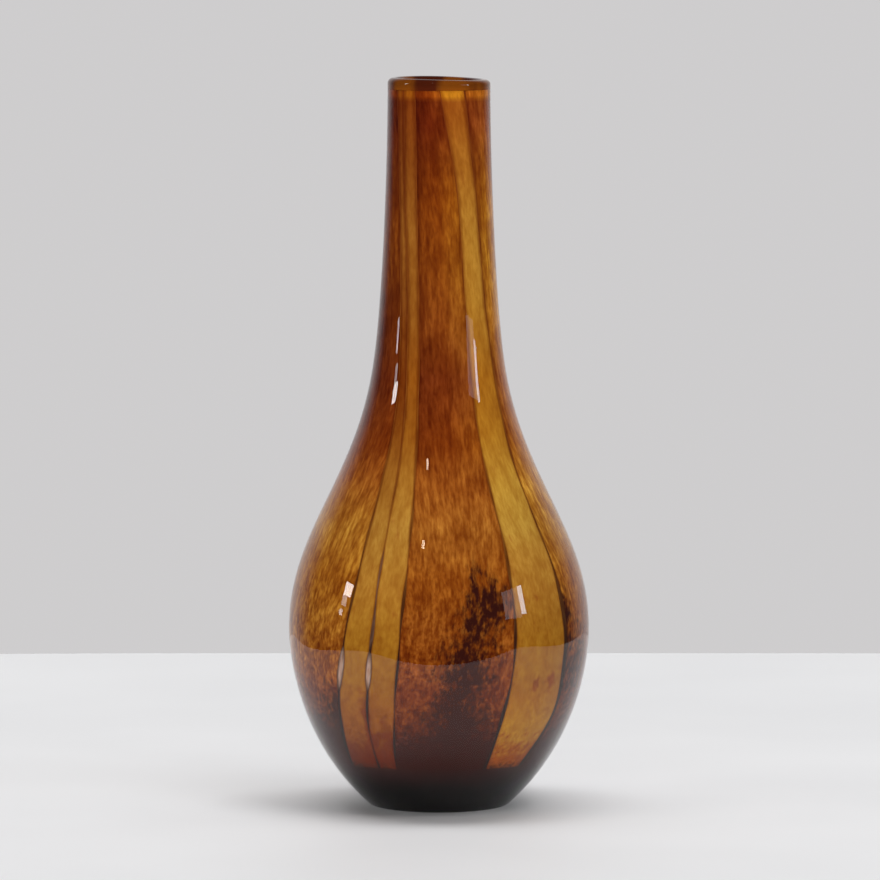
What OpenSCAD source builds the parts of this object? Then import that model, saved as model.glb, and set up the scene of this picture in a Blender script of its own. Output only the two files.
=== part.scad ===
// Hand blown art glass vase: a clear casing over coloured stripes, mottled panels and dark threads,
// with a lining bubble inside, a dark pad in the base and a fire-polished lip.
// Millimetres, Z up. The origin is the centre of the foot on the surface it stands on.
// The front of the vase faces -Y, and azimuths are counted from the front towards +X.

/* [Outline] */

// Overall height
height = 320; // [290:1:350]
// Radius of the flat face of the foot
foot_r = 29.3; // [26:0.1:34]
// Radius of the rounded edge of the foot
foot_round = 3; // [1:0.1:4]
// Angle of the flank where it leaves the foot, from the level
flank_angle = 42; // [36:1:48]
// Length of the curve handle that carries the flank outwards
flank_pull = 43.5; // [36:0.5:46]
// Greatest radius of the belly
belly_r = 66.1; // [60:0.1:72]
// Height of the greatest radius
belly_z = 78; // [70:0.5:88]
// Radius at the root of the neck
root_r = 29.2; // [27:0.1:32]
// Height of the root of the neck
root_z = 193; // [180:0.5:210]
// Slope of the wall at the root of the neck, radius lost per height
root_slope = 0.16; // [0.1:0.01:0.2]
// Radius of the neck under the lip
neck_r = 22.5; // [20:0.1:24]
// Height of the fire-polished lip
lip_h = 5; // [4:0.5:8]
// Radius of the hollow under the foot
punt_r = 14; // [8:0.5:20]
// Depth of the hollow under the foot
punt_depth = 1.6; // [0.8:0.1:2.5]

/* [Glass] */

// Thickness of the clear casing
casing_t = 2.4; // [2:0.1:3]
// Thickness of the colour layer
colour_t = 1.2; // [0.8:0.1:1.8]
// Thickness of the lining bubble
lining_t = 1.4; // [1:0.1:2.2]
// Hairline left between the layers of glass
seam = 0.1; // [0.05:0.05:0.2]
// Extra thickness of the clear casing at the foot, fading out at the belly
heel_t = 3; // [0:0.1:5]
// Thickness of the clear glass under the base pad
casing_floor = 5; // [4:0.5:7]
// Thickness of the dark base pad at its centre
pad_floor = 5; // [3:0.5:7]
// Thickness of the lining at its bottom
lining_floor = 3; // [2:0.5:5]
// Height of the rim of the base pad, where the stripes begin
pad_top = 22; // [18:0.5:28]

/* [Pattern] */

// Sideways drift of the threads from the neck's root to the lip, to the left seen from outside
drift_w = 7.5; // [0:0.1:9]
// Sideways lean of the threads down to the foot, to the left seen from outside
lean_w = 9; // [0:0.1:11]
// Height below which the threads lean
lean_z = 111; // [105:0.5:118]
// Width of a dark thread at the edge of a stripe
thread_w = 1.4; // [1:0.1:2]
// Width of the fine thread down the middle of a double stripe
fine_thread_w = 1; // [0.6:0.1:1.4]
// Width of the boldest thread, on the right
bold_thread_w = 2.2; // [1.4:0.1:3]

/* [Hidden] */

curve_steps = 18;
edge_steps = 4;
floor_steps = 7;
drift_steps = 8;
wall_t = casing_t + colour_t + lining_t;
lip_z = height - lip_h;
reach = 1.5 * belly_r;

// Curve handles: below and above the belly, below and above the neck root, under the lip
belly_below = 9;
belly_above = 42.5;
root_below = 50.7;
root_above = 32.1;
neck_pull = 16.4;

// Level part and rounding of the inner floors, and the curve step where the floor meets the flank
floor_level = 16;
floor_round = 13;
floor_step = 3;

// Depth of each layer's surfaces in the wall, and their height on the axis
casing_in = [casing_t, casing_floor];
colour_out = casing_in + [seam, seam];
colour_in = [casing_t + colour_t, casing_floor + pad_floor];
lining_out = colour_in + [seam, seam];
lining_in = [wall_t, casing_floor + pad_floor + lining_floor];

// Threads round the vase: azimuth, width, and the kind and place of the stave after each of them
layout = [
    [-36.0, thread_w, "stripe", "front_left_outer"],
    [-24.5, fine_thread_w, "stripe", "front_left_inner"],
    [-14.0, thread_w, "panel", "front"],
    [29.0, thread_w, "stripe", "front_right"],
    [54.7, bold_thread_w, "panel", "right"],
    [103.0, thread_w, "stripe", "back_right"],
    [126.0, thread_w, "panel", "back_right"],
    [168.0, thread_w, "stripe", "back_inner"],
    [181.0, fine_thread_w, "stripe", "back_outer"],
    [194.0, thread_w, "panel", "back_left"],
    [240.0, thread_w, "stripe", "left"],
    [264.0, thread_w, "panel", "left"]
];
count = len(layout);
function stave_name(i) = str(layout[i][3], "_", layout[i][2]);
function thread_name(i) = str(stave_name(i), "_thread");

clear_glass = [0.85, 0.8, 0.72, 0.35];
lip_glass = [0.5, 0.28, 0.12, 0.8];
lining_glass = [0.4, 0.2, 0.07];
dark_glass = [0.1, 0.08, 0.08];
ochre_glass = [0.7, 0.48, 0.16];
mottled_glass = [0.5, 0.25, 0.07];

// Outline: the foot's edge and three curves, each curve given by two ends and two handles

foot_end = [foot_r + foot_round * sin(flank_angle), foot_round * (1 - cos(flank_angle))];
flank = [
    foot_end,
    foot_end + flank_pull * [cos(flank_angle), sin(flank_angle)],
    [belly_r, belly_z - belly_below],
    [belly_r, belly_z]
];
shoulder = [
    [belly_r, belly_z],
    [belly_r, belly_z + belly_above],
    [root_r + root_slope * root_below, root_z - root_below],
    [root_r, root_z]
];
neck = [
    [root_r, root_z],
    [root_r - root_slope * root_above, root_z + root_above],
    [neck_r, lip_z - neck_pull],
    [neck_r, lip_z]
];

function point_on(p, t) =
    p[0] * pow(1 - t, 3) + p[1] * 3 * t * pow(1 - t, 2) + p[2] * 3 * t * t * (1 - t) + p[3] * pow(t, 3);

function heading(p, t) =
    (p[1] - p[0]) * pow(1 - t, 2) + (p[2] - p[1]) * 2 * t * (1 - t) + (p[3] - p[2]) * t * t;

function inward(p, t) = let (d = heading(p, t)) [-d[1], d[0]] / norm(d);

// Points of a curve from a step onwards, moved into the wall by a depth that grows towards its start
function wall(p, first, depth, growth) = [
    for (i = [first:curve_steps])
        let (t = i / curve_steps)
            point_on(p, t) + inward(p, t) * (depth + growth * pow(1 - t, 2))
];

function upper_wall(depth) = concat(wall(shoulder, 1, depth, 0), wall(neck, 1, depth, 0));

function reversed(points) = [for (i = [len(points) - 1:-1:0]) points[i]];

function outer_outline() = concat(
    [
        for (i = [0:edge_steps])
            let (a = flank_angle * i / edge_steps)
                [foot_r + foot_round * sin(a), foot_round * (1 - cos(a))]
    ],
    wall(flank, 1, 0, 0),
    upper_wall(0)
);

// Surface of a layer: a rounded floor from the axis, then the flank and the wall above it
function layer_outline(layer) =
    let (
        side = wall(flank, floor_step, layer[0], heel_t),
        rise = (side[1] - side[0]) / norm(side[1] - side[0]),
        floor_curve = [[0, layer[1]], [floor_level, layer[1]], side[0] - floor_round * rise, side[0]]
    )
        concat(
            [for (i = [0:floor_steps - 1]) point_on(floor_curve, i / floor_steps)],
            side,
            upper_wall(layer[0])
        );

// Sideways place of the threads at a height, and one edge of a thread as points of that and the height
function drift_at(z) =
    -drift_w * pow(max(0, z - root_z) / (height - root_z), 1.5) - lean_w * max(0, 1 - z / lean_z);

function thread_edge(offset) = concat(
    [[drift_at(0) + offset, 0], [offset, lean_z]],
    [
        for (i = [0:drift_steps])
            let (z = root_z + (height - root_z) * i / drift_steps)
                [drift_at(z) + offset, z]
    ]
);

// Sections and cutters

module layer_section(outer, inner) {
    polygon(concat(layer_outline(outer), reversed(layer_outline(inner))));
}

module colour_section(bottom, top) {
    intersection() {
        layer_section(colour_out, colour_in);
        translate([0, bottom]) square([reach, top - bottom]);
    }
}

// Stands a flat outline of sideways place and height upright along an azimuth, from behind the axis out
module upright(azimuth, behind) {
    rotate([0, 0, azimuth - 90]) rotate([90, 0, 90]) translate([0, 0, -behind])
        linear_extrude(reach + behind) children();
}

// Everything on one side of an upright edge, as far as a sideways distance
module side_of(azimuth, offset, far) {
    upright(azimuth, reach) polygon(concat(thread_edge(offset), [[far, height], [far, 0]]));
}

// Sub-parts

module outer_casing() {
    ball_r = (punt_r * punt_r + punt_depth * punt_depth) / (2 * punt_depth);
    color(clear_glass) difference() {
        rotate_extrude($fn = 180)
            polygon(concat([[0, 0]], outer_outline(), reversed(layer_outline(casing_in))));
        translate([0, 0, punt_depth - ball_r]) sphere(ball_r, $fn = 180);
    }
}

module lip() {
    color(lip_glass) rotate_extrude($fn = 180) {
        translate([neck_r - wall_t, lip_z]) square([wall_t, lip_h - wall_t / 2]);
        translate([neck_r - wall_t / 2, height - wall_t / 2]) circle(wall_t / 2, $fn = 32);
    }
}

module inner_gather() {
    color(lining_glass) rotate_extrude($fn = 180) layer_section(lining_out, lining_in);
}

module base_pad() {
    color(dark_glass) rotate_extrude($fn = 180) colour_section(0, pad_top);
}

module colour_wall() {
    rotate_extrude($fn = 180) colour_section(pad_top, lip_z);
}

// Piece of the colour layer between one thread and the next
module stave(i) {
    first = layout[i];
    last = layout[(i + 1) % count];
    color(first[2] == "stripe" ? ochre_glass : mottled_glass) intersection() {
        colour_wall();
        side_of(first[0], first[1] / 2, reach);
        side_of(last[0], -last[1] / 2, -reach);
    }
}

module thread(i) {
    half = layout[i][1] / 2;
    color(dark_glass) intersection() {
        colour_wall();
        upright(layout[i][0], 0) polygon(concat(thread_edge(-half), reversed(thread_edge(half))));
    }
}

outer_casing();
lip();
inner_gather();
base_pad();
for (i = [0:count - 1]) {
    stave(i);
    thread(i);
}
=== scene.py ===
"""Looks of a hand blown art glass vase: clear casing, ochre stripes, mottled panels, dark threads."""

import math

import bpy
import numpy as np
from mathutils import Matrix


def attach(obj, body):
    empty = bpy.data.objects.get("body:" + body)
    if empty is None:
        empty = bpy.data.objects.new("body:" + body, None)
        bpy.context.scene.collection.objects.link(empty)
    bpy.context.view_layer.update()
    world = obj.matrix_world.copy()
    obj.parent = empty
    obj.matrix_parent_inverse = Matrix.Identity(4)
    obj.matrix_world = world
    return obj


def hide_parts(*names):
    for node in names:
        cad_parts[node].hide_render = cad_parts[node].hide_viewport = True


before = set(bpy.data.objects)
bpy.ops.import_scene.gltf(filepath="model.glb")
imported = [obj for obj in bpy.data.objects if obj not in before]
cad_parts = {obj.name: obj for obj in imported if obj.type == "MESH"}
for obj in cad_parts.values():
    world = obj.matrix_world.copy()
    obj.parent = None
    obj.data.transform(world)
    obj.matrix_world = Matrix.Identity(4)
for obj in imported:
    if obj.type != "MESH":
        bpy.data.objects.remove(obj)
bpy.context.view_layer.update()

MM = 0.001

# Sizes of the vase in millimetres, the same as those of the solids
HEIGHT = 320.0
FOOT_R = 29.3
FOOT_ROUND = 3.0
FLANK_ANGLE = math.radians(42.0)
FLANK_PULL = 43.5
BELLY_R = 66.1
BELLY_Z = 78.0
BELLY_BELOW = 9.0
BELLY_ABOVE = 42.5
ROOT_R = 29.2
ROOT_Z = 193.0
ROOT_SLOPE = 0.16
ROOT_BELOW = 50.7
ROOT_ABOVE = 32.1
NECK_R = 22.5
NECK_PULL = 16.4
LIP_H = 5.0
LIP_Z = HEIGHT - LIP_H
PUNT_R = 14.0
PUNT_DEPTH = 1.6
CASING_T = 2.4
COLOUR_T = 1.2
LINING_T = 1.4
HEEL_T = 3.0
CASING_FLOOR = 5.0
PAD_FLOOR = 5.0
LINING_FLOOR = 3.0
PAD_TOP = 22.0
FLOOR_LEVEL = 16.0
FLOOR_ROUND = 13.0
# Place on the flank, from 0 at the foot to 1 at the belly, where the floors of the layers meet it
FLOOR_START = 3.0 / 18.0
# Thickness of the whole wall
WALL_T = CASING_T + COLOUR_T + LINING_T

# Depth of each layer's inner surface in the wall, and its height on the axis
CASING_IN = (CASING_T, CASING_FLOOR)
COLOUR_IN = (CASING_T + COLOUR_T, CASING_FLOOR + PAD_FLOOR)
LINING_IN = (WALL_T, CASING_FLOOR + PAD_FLOOR + LINING_FLOOR)

# The colour reaches this far into the casing and the lip, so that no film of air lies between them
SUNK = 0.05
# Hair of air between the casing's top and the lip
SEAM = 0.02

# Heights at which the courses of the threads are given
HEIGHTS = (22.0, 45.0, 70.0, 105.0, 150.0, 190.0, 230.0, 270.0, 315.0)
# Course of a thread on the far side: degrees from its azimuth on the belly, at those heights
FAR_COURSE = (-9.0, -6.0, -3.0, 0.0, -1.0, -2.5, -6.5, -13.0, -23.0)
# Threads: width, kind and place of the stave after the thread, and its course or its azimuth on the belly
LAYOUT = (
    (1.4, "stripe", "front_left_outer", (-54.5, -47.5, -41.0, -36.2, -35.6, -38.5, -44.0, -51.0, -58.0)),
    (1.0, "stripe", "front_left_inner", (-34.5, -32.0, -28.2, -25.4, -26.0, -29.9, -34.6, -42.0, -47.0)),
    (1.4, "panel", "front", (-23.2, -19.8, -16.3, -13.5, -14.8, -18.1, -22.0, -26.0, -30.0)),
    (1.4, "stripe", "front_right", (25.3, 28.0, 30.8, 30.6, 30.3, 29.9, 27.0, 21.0, 1.0)),
    (2.2, "panel", "right", (49.0, 58.5, 58.2, 56.0, 54.8, 58.5, 53.0, 46.5, 32.0)),
    (1.4, "stripe", "back_right", 103.0),
    (1.4, "panel", "back_right", 126.0),
    (1.4, "stripe", "back_inner", 168.0),
    (1.0, "stripe", "back_outer", 181.0),
    (1.4, "panel", "back_left", 194.0),
    (1.4, "stripe", "left", 240.0),
    (1.4, "panel", "left", 264.0),
)
# Heights at which the paleness of a stave is given
PALE_HEIGHTS = (30.0, 60.0, 90.0, 130.0, 180.0, 210.0, 250.0, 310.0)
# How pale each stave is at those heights, or all over: 0 is deep, 0.5 as its colour's ramp says and 1 pale;
# values over 1 make up for the less pale side of a panel
PALE = (
    (0.25, 0.42, 0.5, 0.38, 0.06, 0.06, 0.27, 0.14),
    (0.22, 0.35, 0.5, 0.43, 0.29, 0.3, 0.34, 0.25),
    (0.5, 0.5, 0.5, 0.5, 0.5, 0.5, 0.5, 0.5),
    (0.71, 0.44, 0.42, 0.545, 0.555, 0.555, 0.548, 0.54),
    (0.5, 0.5, 0.55, 0.68, 1.02, 1.22, 0.94, 0.88),
    0.55,
    0.45,
    0.4,
    0.45,
    0.55,
    0.4,
    (0.5, 0.58, 0.66, 0.62, 0.25, 0.0, 0.26, 0.2),
)
# On the neck a panel is less pale on its left and paler on its right: how much over its whole width, and
# the heights over which that begins
PALE_LEFT = 0.55
PALE_RIGHT = 0.32
PALE_SIDES_IN = (140, 170)
# Millimetres over which a stave's colour deepens beside a thread: heights, and values at those heights
EDGE_REACH = ((22, 100, 160, 220, 312), (1.0, 0.8, 1.0, 1.6, 2.2))
# How many times its length the glass was drawn out to: heights, and values at those heights
STRETCH = ((22, 60, 100, 150, 200, 312), (1.0, 1.3, 2.2, 3.0, 3.0, 2.8))
# Panels over which the lip is paler than over the others, as a share of its paleness over a stripe
PALE_LIP = {"right": 0.6, "left": 0.35}
# Share of its width that a thread has: heights, and the shares at those heights
THREAD_SHARE = ((22, 60, 96, 120, 190, 312), (0.9, 1.0, 0.8, 0.5, 0.35, 0.25))
# Threads of the double stripes, which nearly break on the shoulder and are browner than the others
BROKEN = (1, 8)
# The break: its height and half height, and the share of the width that is lost there
BREAK_Z = 121
BREAK_HALF = 6
BREAK_LOSS = 0.85
# The browner stretch: the heights over which it comes and goes, and how much paler it is
BROWN_IN = (74, 80)
BROWN_OUT = (112, 126)
BROWN = 0.12
# Threads that are slim on the lower body, the heights over which that ends, and the share of width left
SLIM = (2, 9)
SLIM_OUT = (66, 92)
SLIM_SHARE = 0.4
# Bubbles that open a thread, their pale hearts a painted glint of light: its number, their height, half
# height and width
BUBBLE_GLINTS = (
    (0, 66.0, 10.0, 2.2),
    (1, 65.5, 8.5, 2.5),
    (7, 69.0, 9.0, 2.2),
    (8, 63.0, 8.0, 2.4),
)

# Dark end of a stripe at the base: its strength and the heights over which it ends
STRIPE_DARK = 0.7
STRIPE_DARK_OUT = (22, 26)
# The same for a panel or a thread, and the most that smoke can come to there
PANEL_DARK = 1.1
PANEL_DARK_OUT = (23, 46)
SMOKE_MOST = 1.2
# Dark smoke in the panels: azimuth, height, half width in degrees, half height, strength
SMOKE = (
    (16.0, 104.0, 5.0, 10.0, 0.5),
    (24.0, 95.0, 8.0, 10.0, 0.7),
    (15.0, 86.0, 9.0, 11.0, 0.65),
    (11.0, 70.0, 12.0, 12.0, 0.7),
    (9.0, 54.0, 13.0, 13.0, 0.75),
    (7.0, 40.0, 14.0, 10.0, 0.75),
    (59.0, 88.0, 4.0, 12.0, 0.75),
    (67.0, 63.0, 15.0, 18.0, 0.8),
    (-46.0, 46.0, 8.0, 12.0, 1.0),
    (-66.0, 38.0, 18.0, 17.0, 0.6),
    (148.0, 84.0, 10.0, 16.0, 0.7),
    (139.0, 58.0, 12.0, 18.0, 0.6),
    (216.0, 66.0, 14.0, 20.0, 0.6),
    (206.0, 98.0, 6.0, 11.0, 0.4),
)
# Rust of a stripe at the base: its strength and the heights over which it ends
RUST_LOW = 0.8
RUST_OUT = (24, 44)
# Rusty patches in the stripes: azimuth, height, half width in degrees, half height, strength
RUST = (
    (51.0, 60.0, 3.0, 5.0, 0.8),
    (42.0, 59.0, 3.0, 4.0, 0.6),
    (36.0, 95.0, 2.0, 5.0, 0.5),
    (-33.0, 44.0, 2.5, 13.0, 0.9),
    (-25.0, 38.0, 3.0, 9.0, 0.5),
    (116.0, 52.0, 5.0, 9.0, 0.7),
    (174.0, 47.0, 4.0, 12.0, 0.8),
    (252.0, 56.0, 5.0, 8.0, 0.6),
)

# Unevenness of the blown surface: depths of its slow and its quick waves, and where it comes and goes
DENT_SLOW = 0.08
DENT_QUICK = 0.02
DENT_IN = (4, 40)
DENT_OUT = (285, 308)

# Steps, points and columns of the meshes, and the angle from which an edge between two faces is sharp
ROUND = 240
TOP_STEPS = 90
FLANK_POINTS = 60
FLOOR_STEPS = 24
PAD_POINTS = 24
EDGE_POINTS = 9
BAND_STEPS = 8
CREST_POINTS = 25
UNDER_POINTS = 7
STRIPE_COLUMNS = 13
PANEL_COLUMNS = 25
THREAD_COLUMNS = 5
SHARP_ANGLE = math.radians(50.0)
# Search for a height on the flank: the place on it where the search starts, and its points
SEARCH_START = 0.1
SEARCH_POINTS = 400

# Lip: how far its rim dips on one side and swells, and the steps over which its colour blends
LIP_TILT = 0.9
LIP_SWELL = 0.05
LIP_BLEND = 4

# Finishes and noise; each stave and each thread draws its noise at a place of its own
GLASS_IOR = 1.45
BURIED_ROUGHNESS = 0.6
LINING_ROUGHNESS = 0.08
LIP_ROUGHNESS = 0.04
NOISE_ROUGHNESS = 0.55
SEED_STEP = 31.7
THREAD_SEED = 15


# Outline of the wall

def cubic(ends, t):
    """Point of a cubic curve: two ends and two handles, weighted by the Bernstein polynomials of t."""
    t = np.asarray(t)[:, None]
    a, b, c, d = np.asarray(ends)
    return a * (1 - t) ** 3 + b * 3 * t * (1 - t) ** 2 + c * 3 * t ** 2 * (1 - t) + d * t ** 3


def inward(ends, t):
    """Unit normal that points into the vase: the curve's derivative turned by a quarter."""
    t = np.asarray(t)[:, None]
    a, b, c, d = np.asarray(ends)
    along = (b - a) * (1 - t) ** 2 + (c - b) * 2 * t * (1 - t) + (d - c) * t ** 2
    across = np.stack([-along[:, 1], along[:, 0]], axis=1)
    return across / np.linalg.norm(across, axis=1)[:, None]


FOOT_END = (FOOT_R + FOOT_ROUND * math.sin(FLANK_ANGLE), FOOT_ROUND * (1 - math.cos(FLANK_ANGLE)))
FLANK = (
    FOOT_END,
    (FOOT_END[0] + FLANK_PULL * math.cos(FLANK_ANGLE), FOOT_END[1] + FLANK_PULL * math.sin(FLANK_ANGLE)),
    (BELLY_R, BELLY_Z - BELLY_BELOW),
    (BELLY_R, BELLY_Z),
)
SHOULDER = (
    (BELLY_R, BELLY_Z),
    (BELLY_R, BELLY_Z + BELLY_ABOVE),
    (ROOT_R + ROOT_SLOPE * ROOT_BELOW, ROOT_Z - ROOT_BELOW),
    (ROOT_R, ROOT_Z),
)
NECK = (
    (ROOT_R, ROOT_Z),
    (ROOT_R - ROOT_SLOPE * ROOT_ABOVE, ROOT_Z + ROOT_ABOVE),
    (NECK_R, LIP_Z - NECK_PULL),
    (NECK_R, LIP_Z),
)


def flank_rows(t, depth):
    """Flank points moved inwards along the normal by the depth and the heel's extra, heel (1 - t)^2."""
    return cubic(FLANK, t) + inward(FLANK, t) * (depth + HEEL_T * (1 - t) ** 2)[:, None]


def upper_rows(depth):
    """Shoulder and neck points, moved inwards along the normal by a depth."""
    t = np.linspace(0, 1, TOP_STEPS + 1)[1:]
    shoulder = cubic(SHOULDER, t) + inward(SHOULDER, t) * depth
    neck = cubic(NECK, t) + inward(NECK, t) * depth
    return np.concatenate([shoulder, neck])


def wall_rows(start, depth):
    """Radius and height of the wall at a depth, from a point of the flank up to the lip."""
    return np.concatenate([flank_rows(np.linspace(start, 1, FLANK_POINTS), depth), upper_rows(depth)])


def outer_rows():
    """Outside of the vase: the sphere's cap under the foot, the foot's rounded edge, and the three curves."""
    ball = (PUNT_R ** 2 + PUNT_DEPTH ** 2) / (2 * PUNT_DEPTH)
    r = np.linspace(0, PUNT_R, EDGE_POINTS)
    punt = np.stack([r, PUNT_DEPTH - ball + np.sqrt(ball ** 2 - r ** 2)], axis=1)
    a = np.linspace(0, FLANK_ANGLE, EDGE_POINTS)
    edge = np.stack([FOOT_R + FOOT_ROUND * np.sin(a), FOOT_ROUND * (1 - np.cos(a))], axis=1)
    flank = cubic(FLANK, np.linspace(0, 1, FLANK_POINTS)[1:])
    return np.concatenate([punt, edge, flank, upper_rows(0)])


def floored(side, floor):
    """A cubic floor from the axis to the start of a side, then the side itself."""
    rise = (side[1] - side[0]) / np.linalg.norm(side[1] - side[0])
    ends = ((0, floor), (FLOOR_LEVEL, floor), side[0] - FLOOR_ROUND * rise, side[0])
    return np.concatenate([cubic(ends, np.linspace(0, 1, FLOOR_STEPS + 1)[:-1]), side])


def layer_rows(depth, floor):
    """Inner surface of a layer: a cubic floor from the axis, then the wall at the layer's depth."""
    return floored(wall_rows(FLOOR_START, depth), floor)


def flank_place(height, depth):
    """Parameter of the flank at which the wall at a depth reaches a height."""
    t = np.linspace(SEARCH_START, 1, SEARCH_POINTS)
    return np.interp(height, flank_rows(t, depth)[:, 1], t)


# Meshes

def put_mesh(name, points, faces, material, nodes, attributes=()):
    """Puts arrays of points and faces into a mesh with smooth faces, and rides and replaces for the frame."""
    mesh = bpy.data.meshes.new(name)
    mesh.from_pydata(np.asarray(points).reshape(-1, 3) * MM, [], faces)
    mesh.polygons.foreach_set("use_smooth", np.ones(len(mesh.polygons), dtype=bool))
    mesh.set_sharp_from_angle(angle=SHARP_ANGLE)
    for label, values in dict(attributes).items():
        kind, field = ("FLOAT", "value") if values.ndim == 1 else ("FLOAT_VECTOR", "vector")
        mesh.attributes.new(label, kind, "POINT").data.foreach_set(field, values.astype(np.float32).ravel())
    mesh.materials.append(material)
    mesh.update()
    piece = bpy.data.objects.new(name, mesh)
    bpy.context.scene.collection.objects.link(piece)
    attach(piece, "root")
    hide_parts(*nodes)
    return piece


def quads(rows, columns, wrap_rows, wrap_columns):
    """Four-cornered faces of a grid of points, joined up where it wraps round."""
    index = np.arange(rows * columns).reshape(rows, columns)
    if wrap_rows:
        index = np.concatenate([index, index[:1]])
    if wrap_columns:
        index = np.concatenate([index, index[:, :1]], axis=1)
    corners = (index[:-1, :-1], index[:-1, 1:], index[1:, 1:], index[1:, :-1])
    return np.stack(corners, axis=-1).reshape(-1, 4)


def turned(rows, azimuth):
    """Points of a surface of revolution: x = r sin(azimuth), y = -r cos(azimuth), z as in the rows."""
    r, z = rows[..., 0], rows[..., 1]
    return np.stack([r * np.sin(azimuth), -r * np.cos(azimuth), z + 0 * azimuth], axis=-1)


def closed_on_axis(rows, dents):
    """A profile from axis to axis turned round: rings of points moved inwards by the dents, and two poles."""
    azimuth = np.linspace(0, 2 * math.pi, ROUND, endpoint=False)[None, :]
    ring = np.repeat(rows[1:-1, None, :], ROUND, axis=1)
    ring[..., 0] -= dents(ring[..., 0], ring[..., 1], azimuth)
    points = turned(ring, azimuth).reshape(-1, 3)
    poles = np.array([[0, 0, rows[0, 1]], [0, 0, rows[-1, 1]]])
    first = np.arange(ROUND)
    after = (first + 1) % ROUND
    last = len(points) - ROUND
    below = np.stack([np.full(ROUND, len(points)), after, first], axis=1)
    above = np.stack([np.full(ROUND, len(points) + 1), first + last, after + last], axis=1)
    faces = quads(len(rows) - 2, ROUND, False, True).tolist() + below.tolist() + above.tolist()
    return np.concatenate([points, poles]), faces


def no_dents(r, z, azimuth):
    """A layer with no unevenness of its own."""
    return 0 * r


# Pattern round the vase

def course(number, z):
    """Azimuth of a thread's middle in radians at some heights: a cubic Hermite curve through given points.

    The slope at each point is that of the parabola through it and its neighbours.
    """
    given = LAYOUT[number][3]
    azimuths = np.asarray(given) if isinstance(given, tuple) else given + np.asarray(FAR_COURSE)
    heights = np.asarray(HEIGHTS)
    slopes = np.gradient(azimuths, heights)
    low = np.clip(np.searchsorted(heights, z) - 1, 0, len(heights) - 2)
    step = heights[low + 1] - heights[low]
    s = (z - heights[low]) / step
    ends = azimuths[low] * (1 + 2 * s) * (1 - s) ** 2 + azimuths[low + 1] * s ** 2 * (3 - 2 * s)
    bends = slopes[low] * s * (1 - s) ** 2 - slopes[low + 1] * s ** 2 * (1 - s)
    return np.radians(ends + step * bends)


def bubble_glint_width(number, z):
    """Width of a thread's bubbles at some heights, which also sets their painted glint: each is a lens, w (1
    - ((z - middle) / half height)^2).
    """
    wide = 0 * z
    for owner, middle, half, width in BUBBLE_GLINTS:
        if owner == number:
            wide = np.maximum(wide, width * np.clip(1 - ((z - middle) / half) ** 2, 0, 1))
    return wide


def thread_width(number, z):
    """Width of a thread: broad below, fine on the neck, uneven in waves; some nearly break or grow slim."""
    share = np.interp(z, *THREAD_SHARE)
    waves = 1 + 0.3 * np.sin(z / 17 + 2.3 * number) + 0.2 * np.sin(z / 5.3 + 4.1 * number)
    gap = 1 - BREAK_LOSS * np.exp(-((z - BREAK_Z) / BREAK_HALF) ** 4) if number in BROKEN else 1
    slim = SLIM_SHARE + (1 - SLIM_SHARE) * smoothstep(*SLIM_OUT, z) if number in SLIM else 1
    return LAYOUT[number][0] * share * waves * gap * slim + bubble_glint_width(number, z)


def thread_edge(number, side, rows):
    """Azimuth of one edge of a thread: its course, a wobble and half its width, both over the radius."""
    r, z = rows[:, 0], rows[:, 1]
    wobble = 0.3 * np.sin(z / 13 + 1.7 * number) + 0.25 * np.sin(z / 5 + 2.9 * number + side)
    across = wobble * r / BELLY_R + side * thread_width(number, z) / 2
    return course(number, z) + np.arcsin(across / r)


def smoothstep(low, high, value):
    """0 below the low value, 1 above the high one, and 3s^2 - 2s^3 between them."""
    s = np.clip((value - low) / (high - low), 0, 1)
    return s * s * (3 - 2 * s)


def clouds_at(clouds, azimuth, z):
    """Sum of bell-shaped clouds, each falling off with azimuth and height as exp(-a^2 - h^2)."""
    total = 0 * azimuth * z
    for centre, height, wide, high, strength in clouds:
        away = (np.degrees(azimuth) - centre + 180) % 360 - 180
        total = total + strength * np.exp(-(away / wide) ** 2 - ((z - height) / high) ** 2)
    return total


def smoke_at(kind, azimuth, z):
    """Darkness in the colour: a dark end at the base, and in the panels a haze and clouds of smoke."""
    if kind == "stripe":
        return STRIPE_DARK * (1 - smoothstep(*STRIPE_DARK_OUT, z)) + 0 * azimuth
    dark = PANEL_DARK * (1 - smoothstep(*PANEL_DARK_OUT, z)) + clouds_at(SMOKE, azimuth, z)
    return np.clip(dark, 0, SMOKE_MOST)


def rust_at(azimuth, z):
    """Rust in the stripes: it gathers towards the base, with patches here and there."""
    low = RUST_LOW * (1 - smoothstep(*RUST_OUT, z))
    return np.clip(low + clouds_at(RUST, azimuth, z), 0, 1)


def paleness(number, z, share):
    """How pale a stave is: the values given for it, and on the neck a panel grows paler to its right."""
    given = PALE[number]
    along = np.interp(z, PALE_HEIGHTS, given) if isinstance(given, tuple) else given + 0 * z
    slope = smoothstep(*PALE_SIDES_IN, z) if LAYOUT[number][1] == "panel" else 0 * z
    across = np.where(share > 0.5, PALE_RIGHT, PALE_LEFT) * (share - 0.5)
    return along[:, None] + slope[:, None] * across


def edge_reach(z):
    """Millimetres over which a stave's colour deepens beside a thread: few below, more on the neck."""
    return np.interp(z, *EDGE_REACH)


def stretch(z):
    """How many times its length the glass was drawn out to in blowing: once at the foot, most above."""
    return np.interp(z, *STRETCH)


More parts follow.
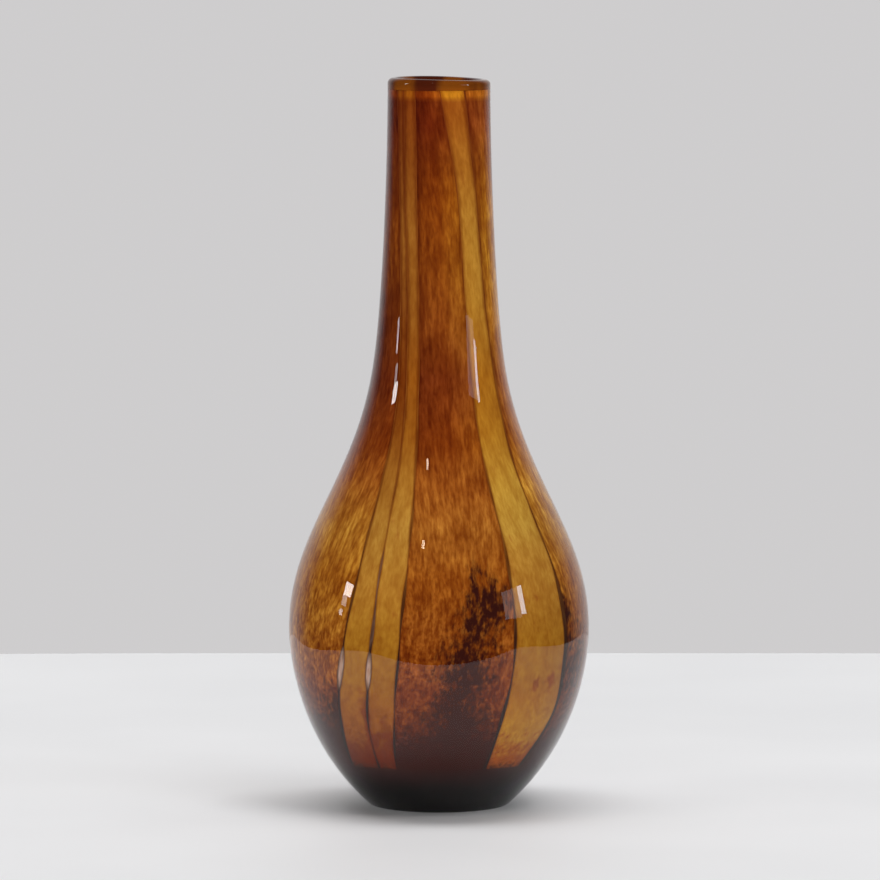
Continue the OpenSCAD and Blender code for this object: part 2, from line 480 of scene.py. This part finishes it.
def carried(name, left, right, columns, number, kind, seed, material):
    """Piece of the colour layer: at each height a loop of outer and inner points between two azimuths.

    The loops are carried up the wall and closed at both ends. The attribute flow counts millimetres across
    and along the glass as they were before it was drawn out, with the lean of the threads taken out, edge is
    the distance to the nearer side over the reach of the deeper rim, smoke the darkness, rust the rustiness
    and pale the paleness; in a thread, pale is the heart of a bubble, painted pale as a glint of light.
    """
    outer, inner = colour_rows()
    share = np.linspace(0, 1, columns)[None, :]
    azimuth = left[:, None] + (right - left)[:, None] * share
    front = turned(np.repeat(outer[:, None, :], columns, axis=1), azimuth)
    back = turned(np.repeat(inner[:, None, :], columns, axis=1), azimuth)
    loops = np.concatenate([front, back[:, ::-1]], axis=1)
    faces = quads(len(outer), 2 * columns, False, True).tolist()
    bottom = np.arange(columns - 1)
    other = 2 * columns - 1 - bottom
    foot = np.stack([bottom, other, other - 1, bottom + 1], axis=1)
    top = foot[:, ::-1] + (len(outer) - 1) * 2 * columns
    faces += foot.tolist() + top.tolist()
    r, z = outer[:, 0], outer[:, 1]
    steps = np.hypot(np.diff(r), np.diff(z)) / stretch(z[1:])
    along = np.concatenate([[0], np.cumsum(steps)])
    across = (share - 0.5) * ((right - left) * r)[:, None]
    flow = np.stack([across, along[:, None] + 0 * across, seed + 0 * across], axis=-1)
    edge = np.minimum(share, 1 - share) * ((right - left) * r / edge_reach(z))[:, None]
    smoke = smoke_at(kind, azimuth, z[:, None])
    if kind == "thread":
        browner = smoothstep(*BROWN_IN, z) * (1 - smoothstep(*BROWN_OUT, z))
        brown = BROWN * browner if number in BROKEN else 0 * z
        # The heart of each bubble is painted pale, a glint of the light it catches.
        pale = brown[:, None] + bubble_glint_width(number, z)[:, None] / 2 * (1 - (2 * share - 1) ** 2)
    else:
        pale = paleness(number, z, share)
    rust = rust_at(azimuth, z[:, None])
    fields = {"flow": flow, "edge": edge, "smoke": smoke, "pale": pale, "rust": rust}
    both = {label: np.concatenate([v, v[:, ::-1]], axis=1) for label, v in fields.items()}
    attributes = {label: v.reshape((-1,) + v.shape[2:]) for label, v in both.items()}
    return put_mesh(name, loops, faces, material, [name], attributes)


def colour_rows():
    """Outer and inner rows of the colour layer, point by point on the same normals, from pad to lip."""
    start = flank_place(PAD_TOP, CASING_T)
    outer = wall_rows(start, CASING_T - SUNK)
    inner = wall_rows(start, CASING_T + COLOUR_T)
    outer[-1, 1] += SUNK
    inner[-1, 1] += SUNK
    return outer, inner


# Shader helpers

def colour(red, green, blue):
    """A colour socket's value from linear red, green and blue."""
    return (red, green, blue, 1.0)


def node(tree, kind, values=(), **settings):
    """Adds a node: settings by name, then inputs by name or number as a constant or another node's socket."""
    made = tree.nodes.new(kind)
    for label, value in settings.items():
        setattr(made, label, value)
    for label, value in dict(values).items():
        if isinstance(value, bpy.types.NodeSocket):
            tree.links.new(value, made.inputs[label])
        else:
            made.inputs[label].default_value = value
    return made


def mixed(tree, share, first, second, how="MIX"):
    """Mixes two colours, with a share of the second."""
    values = {0: share, 6: first, 7: second}
    return node(tree, "ShaderNodeMix", values, data_type="RGBA", blend_type=how).outputs[2]


def worked(tree, operation, first, second=0.0):
    """Result of one arithmetic operation on two values."""
    return node(tree, "ShaderNodeMath", {0: first, 1: second}, operation=operation).outputs[0]


def ranged(tree, value, low, high, to_low=0.0, to_high=1.0):
    """Carries a value smoothly from one range to another."""
    values = {0: value, 1: low, 2: high, 3: to_low, 4: to_high}
    return node(tree, "ShaderNodeMapRange", values, interpolation_type="SMOOTHSTEP").outputs[0]


def attribute(tree, label):
    """Attribute node of the mesh; its output 1 is a vector and 2 a value."""
    return node(tree, "ShaderNodeAttribute", attribute_name=label)


def scaled_noise(tree, vector, factor, detail):
    """Soft noise on a vector that is first multiplied by a factor along each axis."""
    scaled = node(tree, "ShaderNodeVectorMath", {0: vector, 1: factor}, operation="MULTIPLY")
    values = {"Vector": scaled.outputs[0], "Scale": 1.0, "Detail": detail, "Roughness": NOISE_ROUGHNESS}
    return node(tree, "ShaderNodeTexNoise", values).outputs[0]


def noise(tree, vector, across, along, detail=2.0):
    """Soft noise with features a distance across and a distance along the flow."""
    return scaled_noise(tree, vector, (1 / across, 1 / along, 1), detail)


def grey(level):
    """A colour socket's value that stands for a plain number."""
    return colour(level, level, level)


def by_height(tree, stops):
    """Colour by height on the vase: straight blends between stops of millimetres and colour."""
    place = node(tree, "ShaderNodeTexCoord").outputs["Object"]
    height = node(tree, "ShaderNodeSeparateXYZ", {0: place}).outputs[2]
    share = worked(tree, "DIVIDE", height, HEIGHT * MM)
    ramp = node(tree, "ShaderNodeValToRGB", {0: share})
    elements = ramp.color_ramp.elements
    for number, (millimetres, shade) in enumerate(stops):
        stop = elements[number] if number < 2 else elements.new(1.0)
        stop.position = millimetres / HEIGHT
        stop.color = shade
    return ramp.outputs[0]


def new_group(label, inputs, outputs):
    """Empty shader node group with named sockets; returns its tree, its input node and its output node."""
    tree = bpy.data.node_groups.new(label, "ShaderNodeTree")
    for name, kind in inputs:
        tree.interface.new_socket(name, in_out="INPUT", socket_type=kind)
    for name, kind in outputs:
        tree.interface.new_socket(name, in_out="OUTPUT", socket_type=kind)
    return tree, tree.nodes.new("NodeGroupInput"), tree.nodes.new("NodeGroupOutput")


def placed(tree, group, values):
    """Puts a node group into a material with its own values."""
    return node(tree, "ShaderNodeGroup", values, node_tree=group)


def drawn_flecks():
    """Group: flecks of frit drawn out along the glass, which darken and lighten a colour."""
    inputs = (
        ("Colour", "NodeSocketColor"),
        ("Flow", "NodeSocketVector"),
        ("Width", "NodeSocketFloat"),
        ("Length", "NodeSocketFloat"),
        ("Contrast", "NodeSocketFloat"),
    )
    tree, given, out = new_group("drawn_flecks", inputs, (("Colour", "NodeSocketColor"),))
    size = node(tree, "ShaderNodeCombineXYZ", {0: given.outputs["Width"], 1: given.outputs["Length"], 2: 1.0})
    values = {0: given.outputs["Flow"], 1: size.outputs[0]}
    scaled = node(tree, "ShaderNodeVectorMath", values, operation="DIVIDE")
    values = {"Vector": scaled.outputs[0], "Scale": 1.0, "Detail": 2.0, "Roughness": 0.5, "Distortion": 0.25}
    fleck = ranged(tree, node(tree, "ShaderNodeTexNoise", values).outputs[0], 0.28, 0.72)
    contrast, plain = given.outputs["Contrast"], given.outputs["Colour"]
    dark = mixed(tree, contrast, plain, colour(0.6, 0.42, 0.25), "MULTIPLY")
    light = mixed(tree, contrast, plain, colour(0.74, 0.62, 0.5), "DIVIDE")
    tree.links.new(mixed(tree, fleck, dark, light), out.inputs[0])
    return tree


def smoke_and_edges():
    """Group: a colour is toned by its paleness, deepens beside the threads and sinks into dark smoke."""
    inputs = (
        ("Colour", "NodeSocketColor"),
        ("Flow", "NodeSocketVector"),
        ("Edge Colour", "NodeSocketColor"),
        ("Smoke Colour", "NodeSocketColor"),
    )
    tree, given, out = new_group("smoke_and_edges", inputs, (("Colour", "NodeSocketColor"),))
    flow = given.outputs["Flow"]
    twice = worked(tree, "MULTIPLY", attribute(tree, "pale").outputs[2], 2.0)
    deeper = mixed(tree, twice, colour(0.45, 0.25, 0.3), grey(1.0))
    tone = mixed(tree, worked(tree, "SUBTRACT", twice, 1.0), deeper, colour(2.3, 4.0, 4.0))
    toned = mixed(tree, 1.0, given.outputs["Colour"], tone, "MULTIPLY")
    reach = worked(tree, "ADD", noise(tree, flow, 1.6, 2.6), 0.5)
    near = ranged(tree, attribute(tree, "edge").outputs[2], 0.0, reach, 1.0, 0.0)
    deep = mixed(tree, near, toned, given.outputs["Edge Colour"], "MULTIPLY")
    broad = worked(tree, "SUBTRACT", noise(tree, flow, 7.0, 5.0), 0.5)
    fine = worked(tree, "SUBTRACT", noise(tree, flow, 1.7, 1.9, 3.0), 0.5)
    ragged = worked(tree, "ADD", worked(tree, "MULTIPLY", broad, 0.9), worked(tree, "MULTIPLY", fine, 2.4))
    smoke = attribute(tree, "smoke").outputs[2]
    torn = worked(tree, "MULTIPLY", ragged, ranged(tree, smoke, 0.0, 0.35))
    amount = worked(tree, "ADD", smoke, torn)
    share = ranged(tree, amount, 0.05, 1.05)
    tree.links.new(mixed(tree, share, deep, given.outputs["Smoke Colour"]), out.inputs[0])
    return tree


# Materials

def new_material(label):
    """Material with an empty node tree and a glass-like shader wired to its output."""
    material = bpy.data.materials.new(label)
    material.use_nodes = True
    tree = material.node_tree
    tree.nodes.clear()
    shader = node(tree, "ShaderNodeBsdfPrincipled")
    output = node(tree, "ShaderNodeOutputMaterial")
    tree.links.new(shader.outputs[0], output.inputs[0])
    return material, tree, shader


def under_glass(shader):
    """Colour that lies inside clear glass has no gloss of its own: no specular level, and a rough surface."""
    shader.inputs["Roughness"].default_value = BURIED_ROUGHNESS
    shader.inputs["Specular IOR Level"].default_value = 0.0


def ochre_glass(flecks, smoke):
    """Ochre canes: golden on the shoulder, rusty near the base, deeper on the neck, with a painted orange
    glow under the lip.
    """
    material, tree, shader = new_material("ochre_glass")
    under_glass(shader)
    flow = attribute(tree, "flow").outputs[1]
    stops = (
        (24, colour(0.23, 0.052, 0.003)),
        (33, colour(0.262, 0.078, 0.004)),
        (48, colour(0.31, 0.104, 0.006)),
        (62, colour(0.335, 0.131, 0.008)),
        (80, colour(0.36, 0.146, 0.011)),
        (100, colour(0.415, 0.176, 0.02)),
        (125, colour(0.44, 0.207, 0.027)),
        (145, colour(0.435, 0.185, 0.02)),
        (166, colour(0.386, 0.13, 0.009)),
        (190, colour(0.384, 0.116, 0.007)),
        (225, colour(0.454, 0.169, 0.017)),
        (255, colour(0.48, 0.182, 0.02)),
        (280, colour(0.41, 0.126, 0.012)),
        (310.5, colour(0.375, 0.085, 0.007)),
        # The last stop paints a glow: bright orange where light coming in through the lip lights the top of
        # the canes.
        (312.5, colour(0.68, 0.22, 0.01)),
    )
    tint = by_height(tree, stops)
    rusty = mixed(tree, 1.0, tint, colour(0.7, 0.42, 0.5), "MULTIPLY")
    blotch = worked(tree, "SUBTRACT", noise(tree, flow, 3.0, 3.0, 3.0), 0.5)
    patchy = worked(tree, "ADD", attribute(tree, "rust").outputs[2], worked(tree, "MULTIPLY", blotch, 1.8))
    rust = mixed(tree, ranged(tree, patchy, 0.15, 0.75), tint, rusty)
    values = {"Colour": rust, "Flow": flow, "Width": 4.0, "Length": 4.0, "Contrast": 0.3}
    streaked = placed(tree, flecks, values)
    values = {"Colour": streaked.outputs[0], "Flow": flow, "Width": 1.1, "Length": 1.4, "Contrast": 0.22}
    dotted = placed(tree, flecks, values)
    values = {"Colour": dotted.outputs[0], "Flow": flow}
    values["Edge Colour"] = colour(0.62, 0.45, 0.4)
    values["Smoke Colour"] = colour(0.034, 0.009, 0.004)
    ended = placed(tree, smoke, values)
    tree.links.new(ended.outputs[0], shader.inputs["Base Color"])
    return material


def mottled_glass(flecks, smoke):
    """Brown panels: amber frit drawn into flecks, red-brown on the neck, smoky towards the base, with a
    painted orange glow under the lip.
    """
    material, tree, shader = new_material("mottled_glass")
    under_glass(shader)
    flow = attribute(tree, "flow").outputs[1]
    stops = (
        (22, colour(0.036, 0.01, 0.008)),
        (33, colour(0.06, 0.011, 0.005)),
        (40, colour(0.095, 0.012, 0.001)),
        (48, colour(0.135, 0.021, 0.001)),
        (56, colour(0.177, 0.0285, 0.002)),
        (72, colour(0.219, 0.0442, 0.003)),
        (88, colour(0.246, 0.0552, 0.004)),
        (105, colour(0.268, 0.0626, 0.004)),
        (125, colour(0.313, 0.0883, 0.008)),
        (145, colour(0.295, 0.0708, 0.006)),
        (160, colour(0.212, 0.0359, 0.002)),
        (190, colour(0.181, 0.0276, 0.003)),
        (210, colour(0.256, 0.0515, 0.004)),
        (240, colour(0.268, 0.0552, 0.003)),
        (268, colour(0.258, 0.0469, 0.002)),
        (285, colour(0.207, 0.0313, 0.002)),
        (300, colour(0.175, 0.0193, 0.002)),
        (310.5, colour(0.18, 0.021, 0.002)),
        # The last stop paints a glow: orange where light coming in through the lip lights the top of the
        # panels.
        (312.5, colour(0.38, 0.06, 0.003)),
    )
    tint = by_height(tree, stops)
    values = {"Colour": tint, "Flow": flow, "Width": 9.0, "Length": 5.0, "Contrast": 0.5}
    cloudy = placed(tree, flecks, values)
    values = {"Colour": cloudy.outputs[0], "Flow": flow, "Width": 1.7, "Length": 4.5, "Contrast": 0.6}
    streaked = placed(tree, flecks, values)
    bold = by_height(tree, ((22, grey(0.95)), (70, grey(0.85)), (98, grey(0.0))))
    values = {"Colour": streaked.outputs[0], "Flow": flow, "Width": 2.6, "Length": 2.4, "Contrast": bold}
    large = placed(tree, flecks, values)
    strong = by_height(tree, ((22, grey(0.8)), (90, grey(0.75)), (120, grey(0.5)), (312, grey(0.4))))
    values = {"Colour": large.outputs[0], "Flow": flow, "Width": 1.1, "Length": 1.3, "Contrast": strong}
    small = placed(tree, flecks, values)
    values = {"Colour": small.outputs[0], "Flow": flow}
    values["Edge Colour"] = colour(0.7, 0.6, 0.55)
    values["Smoke Colour"] = colour(0.03, 0.005, 0.003)
    ended = placed(tree, smoke, values)
    tree.links.new(ended.outputs[0], shader.inputs["Base Color"])
    return material


def thread_glass(flecks):
    """Dark threads: red-brown on the neck, near black on the lower body, with paler streaks along them and a
    painted glint in each bubble.
    """
    material, tree, shader = new_material("thread_glass")
    under_glass(shader)
    stops = (
        (22, colour(0.014, 0.009, 0.009)),
        (70, colour(0.022, 0.009, 0.006)),
        (118, colour(0.14, 0.042, 0.005)),
        (200, colour(0.23, 0.058, 0.005)),
        (312, colour(0.2, 0.036, 0.004)),
    )
    flow = attribute(tree, "flow").outputs[1]
    # Pale brings the browner stretch and the painted glint at the heart of each bubble.
    paler = mixed(tree, attribute(tree, "pale").outputs[2], by_height(tree, stops), colour(0.42, 0.25, 0.17))
    values = {"Colour": paler, "Flow": flow, "Width": 0.8, "Length": 4.0, "Contrast": 0.7}
    tree.links.new(placed(tree, flecks, values).outputs[0], shader.inputs["Base Color"])
    return material


def object_noise(tree, across, along, detail=2.0):
    """Soft noise on Object coordinates, with features a distance across and a distance up."""
    place = node(tree, "ShaderNodeTexCoord").outputs["Object"]
    factor = (1 / (across * MM), 1 / (across * MM), 1 / (along * MM))
    return scaled_noise(tree, place, factor, detail)


def pad_glass():
    """Dark pad in the base: nearly black glass with faint plum clouds and a plum rim."""
    material, tree, shader = new_material("pad_glass")
    under_glass(shader)
    cloud = ranged(tree, object_noise(tree, 9.0, 9.0, 3.0), 0.35, 0.7)
    tint = mixed(tree, cloud, colour(0.002, 0.001, 0.001), colour(0.008, 0.004, 0.004))
    rim = by_height(tree, ((PAD_TOP - 9, grey(0.0)), (PAD_TOP, colour(0.022, 0.004, 0.003))))
    tree.links.new(mixed(tree, 1.0, tint, rim, "ADD"), shader.inputs["Base Color"])
    return material


def lining_glass():
    """Lining bubble: glossy amber-brown glass with long streaks."""
    material, tree, shader = new_material("lining_glass")
    streak = ranged(tree, object_noise(tree, 3.0, 40.0, 3.0), 0.3, 0.7)
    tint = mixed(tree, streak, colour(0.16, 0.045, 0.008), colour(0.34, 0.13, 0.02))
    tree.links.new(tint, shader.inputs["Base Color"])
    shader.inputs["Roughness"].default_value = LINING_ROUGHNESS
    return material


def clear_glass():
    """Clear casing: almost colourless glass with a trace of warm cords in it."""
    material, tree, shader = new_material("clear_glass")
    cord = ranged(tree, object_noise(tree, 14.0, 60.0), 0.35, 0.7)
    tint = mixed(tree, cord, colour(1.0, 0.985, 0.96), colour(0.97, 0.93, 0.88))
    tree.links.new(tint, shader.inputs["Base Color"])
    shader.inputs["Roughness"].default_value = 0.0
    shader.inputs["IOR"].default_value = GLASS_IOR
    shader.inputs["Transmission Weight"].default_value = 1.0
    return material


def lip_glass():
    """Fire-polished lip: glossy amber glass, paler over stripes than over panels, and painted darker towards
    its crest as shade.
    """
    material, tree, shader = new_material("lip_glass")
    over = attribute(tree, "over_stripe").outputs[2]
    cord = worked(tree, "MULTIPLY", worked(tree, "SUBTRACT", object_noise(tree, 3.0, 12.0), 0.5), 0.7)
    share = ranged(tree, worked(tree, "ADD", over, cord), 0.1, 0.9)
    tint = mixed(tree, share, colour(0.1, 0.014, 0.003), colour(0.3, 0.076, 0.004))
    # Painted shade: the colour darkens towards the crest to offset the light that falls on the lip's upturned
    # top.
    deeper = by_height(tree, ((LIP_Z, grey(1.0)), (HEIGHT - 1.5, grey(0.6)), (HEIGHT, grey(0.4))))
    tree.links.new(mixed(tree, 1.0, tint, deeper, "MULTIPLY"), shader.inputs["Base Color"])
    shader.inputs["Roughness"].default_value = LIP_ROUGHNESS
    shader.inputs["IOR"].default_value = GLASS_IOR
    return material


# Pieces

def blown_dents(r, z, azimuth):
    """Unevenness of blown glass: waves round and up the vase, inwards only, none at the foot and the lip."""
    slow = 0.5 + 0.25 * np.sin(2 * azimuth + z / 31) + 0.25 * np.sin(3 * azimuth - z / 19 + 1.3)
    quick = 0.5 + 0.25 * np.sin(9 * azimuth + z / 7) + 0.25 * np.sin(13 * azimuth - z / 5 + 0.4)
    fade = smoothstep(*DENT_IN, z) * (1 - smoothstep(*DENT_OUT, z))
    return (DENT_SLOW * slow + DENT_QUICK * quick) * fade


def casing_dents(r, z, azimuth):
    """The blown unevenness on the outside of the casing, and none on its inner surface."""
    outside = np.arange(len(r)) < len(outer_rows()) - 1
    return blown_dents(r, z, azimuth) * outside[:, None]


def make_casing(material):
    """Clear casing: the outside profile, the flat top and the colour layer's bed, turned round the axis."""
    outside = outer_rows()
    outside[-1, 1] -= SEAM
    bed = layer_rows(*CASING_IN)[::-1]
    bed[0, 1] -= SEAM
    points, faces = closed_on_axis(np.concatenate([outside, bed]), casing_dents)
    piece = put_mesh("outer_casing", points, faces, material, ["outer_casing"])
    piece.visible_shadow = False
    piece.visible_diffuse = False
    return piece


def make_lip(material):
    """Lip: a straight band topped by a half circle, turned round; the rim tilts and swells a little."""
    half = WALL_T / 2
    middle = NECK_R - half
    a = np.linspace(0, math.pi, CREST_POINTS)
    top = np.stack([middle + half * np.cos(a), HEIGHT - half + half * np.sin(a)], axis=1)
    rise = np.linspace(LIP_Z, HEIGHT - half, BAND_STEPS + 1)[:-1]
    across = np.linspace(NECK_R - WALL_T, NECK_R, UNDER_POINTS)[1:-1]
    outside = np.stack([np.full_like(rise, NECK_R), rise], axis=1)
    inside = np.stack([np.full_like(rise, NECK_R - WALL_T), rise[::-1]], axis=1)
    floor = np.stack([across, np.full_like(across, LIP_Z)], axis=1)
    rows = np.concatenate([outside, top, inside, floor])
    azimuth = np.linspace(0, 2 * math.pi, ROUND, endpoint=False)[None, :]
    ring = np.repeat(rows[:, None, :], ROUND, axis=1)
    up = (ring[..., 1] - LIP_Z) / LIP_H
    dip = LIP_TILT * ((1 + np.sin(azimuth)) / 2) ** 2 + LIP_SWELL * (1 + np.sin(3 * azimuth + 0.6))
    ring[..., 1] -= up * dip
    points = turned(ring, azimuth)
    top_row = colour_rows()[0][-1:]
    edges = [np.degrees(thread_edge(number, 0, top_row)[0]) for number in range(len(LAYOUT))]
    around = (np.degrees(azimuth[0]) - edges[0]) % 360 + edges[0]
    number = np.searchsorted(edges, around, side="right") - 1
    over = np.array([1.0 if row[1] == "stripe" else PALE_LIP.get(row[2], 0.0) for row in LAYOUT])[number]
    over = sum(np.roll(over, step) for step in range(-LIP_BLEND, LIP_BLEND + 1)) / (2 * LIP_BLEND + 1)
    over = np.repeat(over[None, :], len(rows), axis=0).reshape(-1)
    faces = quads(len(rows), ROUND, True, True).tolist()
    return put_mesh("lip", points, faces, material, ["lip"], {"over_stripe": over})


def make_lining(material):
    """Lining bubble: its outer and inner profiles, turned round the axis."""
    outside = layer_rows(*COLOUR_IN)
    inside = layer_rows(*LINING_IN)[::-1]
    outside[-1, 1] += SUNK
    inside[0, 1] += SUNK
    points, faces = closed_on_axis(np.concatenate([outside, inside]), no_dents)
    return put_mesh("inner_gather", points, faces, material, ["inner_gather"])


def make_pad(material):
    """Base pad: the colour layer's profile from the axis up to the pad's rim, turned round the axis."""
    t = np.linspace(FLOOR_START, flank_place(PAD_TOP, CASING_T), PAD_POINTS)
    below = floored(flank_rows(t, CASING_T - SUNK), CASING_FLOOR - SUNK)
    above = floored(flank_rows(t, COLOUR_IN[0]), COLOUR_IN[1])[::-1]
    points, faces = closed_on_axis(np.concatenate([below, above]), no_dents)
    return put_mesh("base_pad", points, faces, material, ["base_pad"])


def make_colour_layer(ochre, mottled, dark):
    """The staves and the threads between them, from the azimuths of their edges at every height."""
    outer = colour_rows()[0]
    for number, row in enumerate(LAYOUT):
        kind, place = row[1:3]
        after = (number + 1) % len(LAYOUT)
        left = thread_edge(number, 1, outer)
        right = thread_edge(after, -1, outer) + (2 * math.pi if after == 0 else 0)
        name = f"{place}_{kind}"
        material, slot = (ochre, "ochre_glass") if kind == "stripe" else (mottled, "mottled_glass")
        columns = STRIPE_COLUMNS if kind == "stripe" else PANEL_COLUMNS
        seed = SEED_STEP * number
        carried(name, left, right, columns, number, kind, seed, material)
        near = thread_edge(number, -1, outer)
        seed = seed + THREAD_SEED
        carried(f"{name}_thread", near, left, THREAD_COLUMNS, number, "thread", seed, dark)


# Stage

# Picture and sensor widths, the camera's place and aim in metres, its lens and shift in pixels
IMAGE = 880.0
SENSOR = 36.0
CAMERA_Y = -3.0
CAMERA_Z = 0.44
AIM_Z = 0.16
FOCAL_PIXELS = 6862.5
AXIS_LEFT_PIXELS = 1.0
AXIS_DOWN_PIXELS = 1.9
# The floor's middle and half sizes in metres, its roundness, mesh and finish
STAGE_MIDDLE = (0.035, 0.135)
STAGE_HALF = (0.425, 0.4)
STAGE_POWER = 6.0
STAGE_SIDES = 96
STAGE_RINGS = 12
STAGE_CORE = 0.02
STAGE_ROUGHNESS = 0.56
# How far back a direction points where the backdrop begins and where it is full
BACKDROP_IN = (0.42, 0.9)
# The lamps' aim and distances in metres
LAMP_AIM_Z = 0.1
LAMP_FAR = 16.0
LAMP_NEAR = 8.0
LAMP_CLOSE = 3.0


def make_floor():
    """Plain pale floor with rounded corners and a faintly uneven white finish.

    Its rim is the curve |x / a|^p + |y / b|^p = 1 about its middle, filled by smaller copies of the rim.
    """
    turn = np.linspace(0, 2 * math.pi, STAGE_SIDES, endpoint=False)
    cos, sin = np.cos(turn), np.sin(turn)
    x = STAGE_HALF[0] * np.sign(cos) * np.abs(cos) ** (2 / STAGE_POWER)
    y = STAGE_HALF[1] * np.sign(sin) * np.abs(sin) ** (2 / STAGE_POWER)
    share = np.linspace(STAGE_CORE, 1, STAGE_RINGS)[:, None]
    across, deep = STAGE_MIDDLE[0] + share * x, STAGE_MIDDLE[1] + share * y
    points = np.stack([across, deep, 0 * across], axis=-1).reshape(-1, 3)
    mesh = bpy.data.meshes.new("floor")
    faces = quads(len(share), len(turn), False, True)[:, ::-1].tolist()
    mesh.from_pydata(points, [], faces + [list(range(len(turn)))])
    material, tree, shader = new_material("floor")
    tone = ranged(tree, object_noise(tree, 180.0, 180.0), 0.3, 0.7)
    white = mixed(tree, tone, colour(0.785, 0.79, 0.805), colour(0.815, 0.82, 0.835))
    tree.links.new(white, shader.inputs["Base Color"])
    shader.inputs["Roughness"].default_value = STAGE_ROUGHNESS
    mesh.materials.append(material)
    floor = bpy.data.objects.new("floor", mesh)
    bpy.context.scene.collection.objects.link(floor)


def make_world():
    """Pale backdrop, even to the eye and through glass; to other rays it lies behind a dim front."""
    world = bpy.data.worlds.new("studio")
    bpy.context.scene.world = world
    world.use_nodes = True
    tree = world.node_tree
    tree.nodes.clear()
    backdrop = colour(0.62, 0.61, 0.615)
    facing = node(tree, "ShaderNodeTexCoord").outputs["Generated"]
    depth = node(tree, "ShaderNodeSeparateXYZ", {0: facing}).outputs[1]
    surround = mixed(tree, ranged(tree, depth, *BACKDROP_IN), colour(0.06, 0.055, 0.05), backdrop)
    path = node(tree, "ShaderNodeLightPath")
    seen = worked(tree, "MAXIMUM", path.outputs["Is Camera Ray"], path.outputs["Is Transmission Ray"])
    shown = mixed(tree, seen, surround, backdrop)
    background = node(tree, "ShaderNodeBackground", {0: shown, 1: 1.0})
    output = node(tree, "ShaderNodeOutputWorld")
    tree.links.new(background.outputs[0], output.inputs[0])


def make_lamp(label, azimuth, elevation, distance, size, radiance, tint):
    """Area lamp on a sphere round the belly, facing it: azimuth from front, elevation and size in degrees.

    Its power is its radiance times its area times pi, so that its mirror image has that brightness.
    """
    lamp = bpy.data.lights.new(label, "AREA")
    lamp.shape = "RECTANGLE"
    lamp.size = 2 * distance * math.tan(math.radians(size[0] / 2))
    lamp.size_y = 2 * distance * math.tan(math.radians(size[1] / 2))
    lamp.energy = radiance * lamp.size * lamp.size_y * math.pi
    lamp.color = tint
    a, e = math.radians(azimuth), math.radians(elevation)
    stand = bpy.data.objects.new(label, lamp)
    stand.location = (
        distance * math.cos(e) * math.sin(a),
        -distance * math.cos(e) * math.cos(a),
        LAMP_AIM_Z + distance * math.sin(e),
    )
    stand.rotation_euler = (math.pi / 2 - e, 0, a)
    stand.visible_camera = False
    bpy.context.scene.collection.objects.link(stand)
    return stand


def make_lamps():
    """Broad ceiling, back, key and fill lights that no gloss mirrors; strips at the sides, a small lamp."""
    cool = (0.76, 0.88, 1.0)
    warm = (1.0, 0.97, 0.9)
    white = (1.0, 1.0, 1.0)
    ceiling = make_lamp("ceiling", 180.0, 84.5, LAMP_FAR, (46, 18), 7.9, white)
    back = make_lamp("back", 180.0, 34.0, LAMP_FAR, (50, 30), 0.7, white)
    key = make_lamp("key", 50.0, 62.0, LAMP_FAR, (20, 20), 5.4, white)
    fill = make_lamp("fill", -6.0, 5.0, LAMP_FAR, (56, 14), 9.1, white)
    for broad in (ceiling, back, key, fill):
        broad.visible_glossy = False
    make_lamp("right_soft_box", 59.5, 11.8, LAMP_NEAR, (15, 13.8), 1.6, cool)
    make_lamp("right_bright_strip", 68.8, 12.4, LAMP_NEAR, (4.0, 12.6), 12.0, cool)
    make_lamp("left_strip_high", -78.5, 15.2, LAMP_NEAR, (7.5, 5.2), 17.0, warm)
    make_lamp("left_strip_middle", -80.2, 10.4, LAMP_NEAR, (4.6, 4.4), 5.5, warm)
    make_lamp("left_strip_low", -82.0, 5.2, LAMP_NEAR, (3.6, 2.6), 9.0, warm)
    make_lamp("front_spot", -16.0, 40.0, LAMP_CLOSE, (2.2, 2.2), 17.0, (1.0, 0.8, 0.55))


def make_camera():
    """Long lens at the photograph's distance and height, aimed at the middle of the vase."""
    data = bpy.data.cameras.new("camera")
    data.sensor_width = SENSOR
    data.lens = FOCAL_PIXELS * SENSOR / IMAGE
    data.shift_x = AXIS_LEFT_PIXELS / IMAGE
    data.shift_y = AXIS_DOWN_PIXELS / IMAGE
    camera = bpy.data.objects.new("camera", data)
    camera.location = (0, CAMERA_Y, CAMERA_Z)
    camera.rotation_euler = (math.pi / 2 - math.atan2(CAMERA_Z - AIM_Z, -CAMERA_Y), 0, 0)
    bpy.context.scene.collection.objects.link(camera)
    bpy.context.scene.camera = camera


flecks = drawn_flecks()
smoke = smoke_and_edges()
make_casing(clear_glass())
make_lip(lip_glass())
make_lining(lining_glass())
make_pad(pad_glass())
make_colour_layer(ochre_glass(flecks, smoke), mottled_glass(flecks, smoke), thread_glass(flecks))
make_floor()
make_world()
make_lamps()
make_camera()
bpy.context.scene.view_settings.view_transform = "Standard"
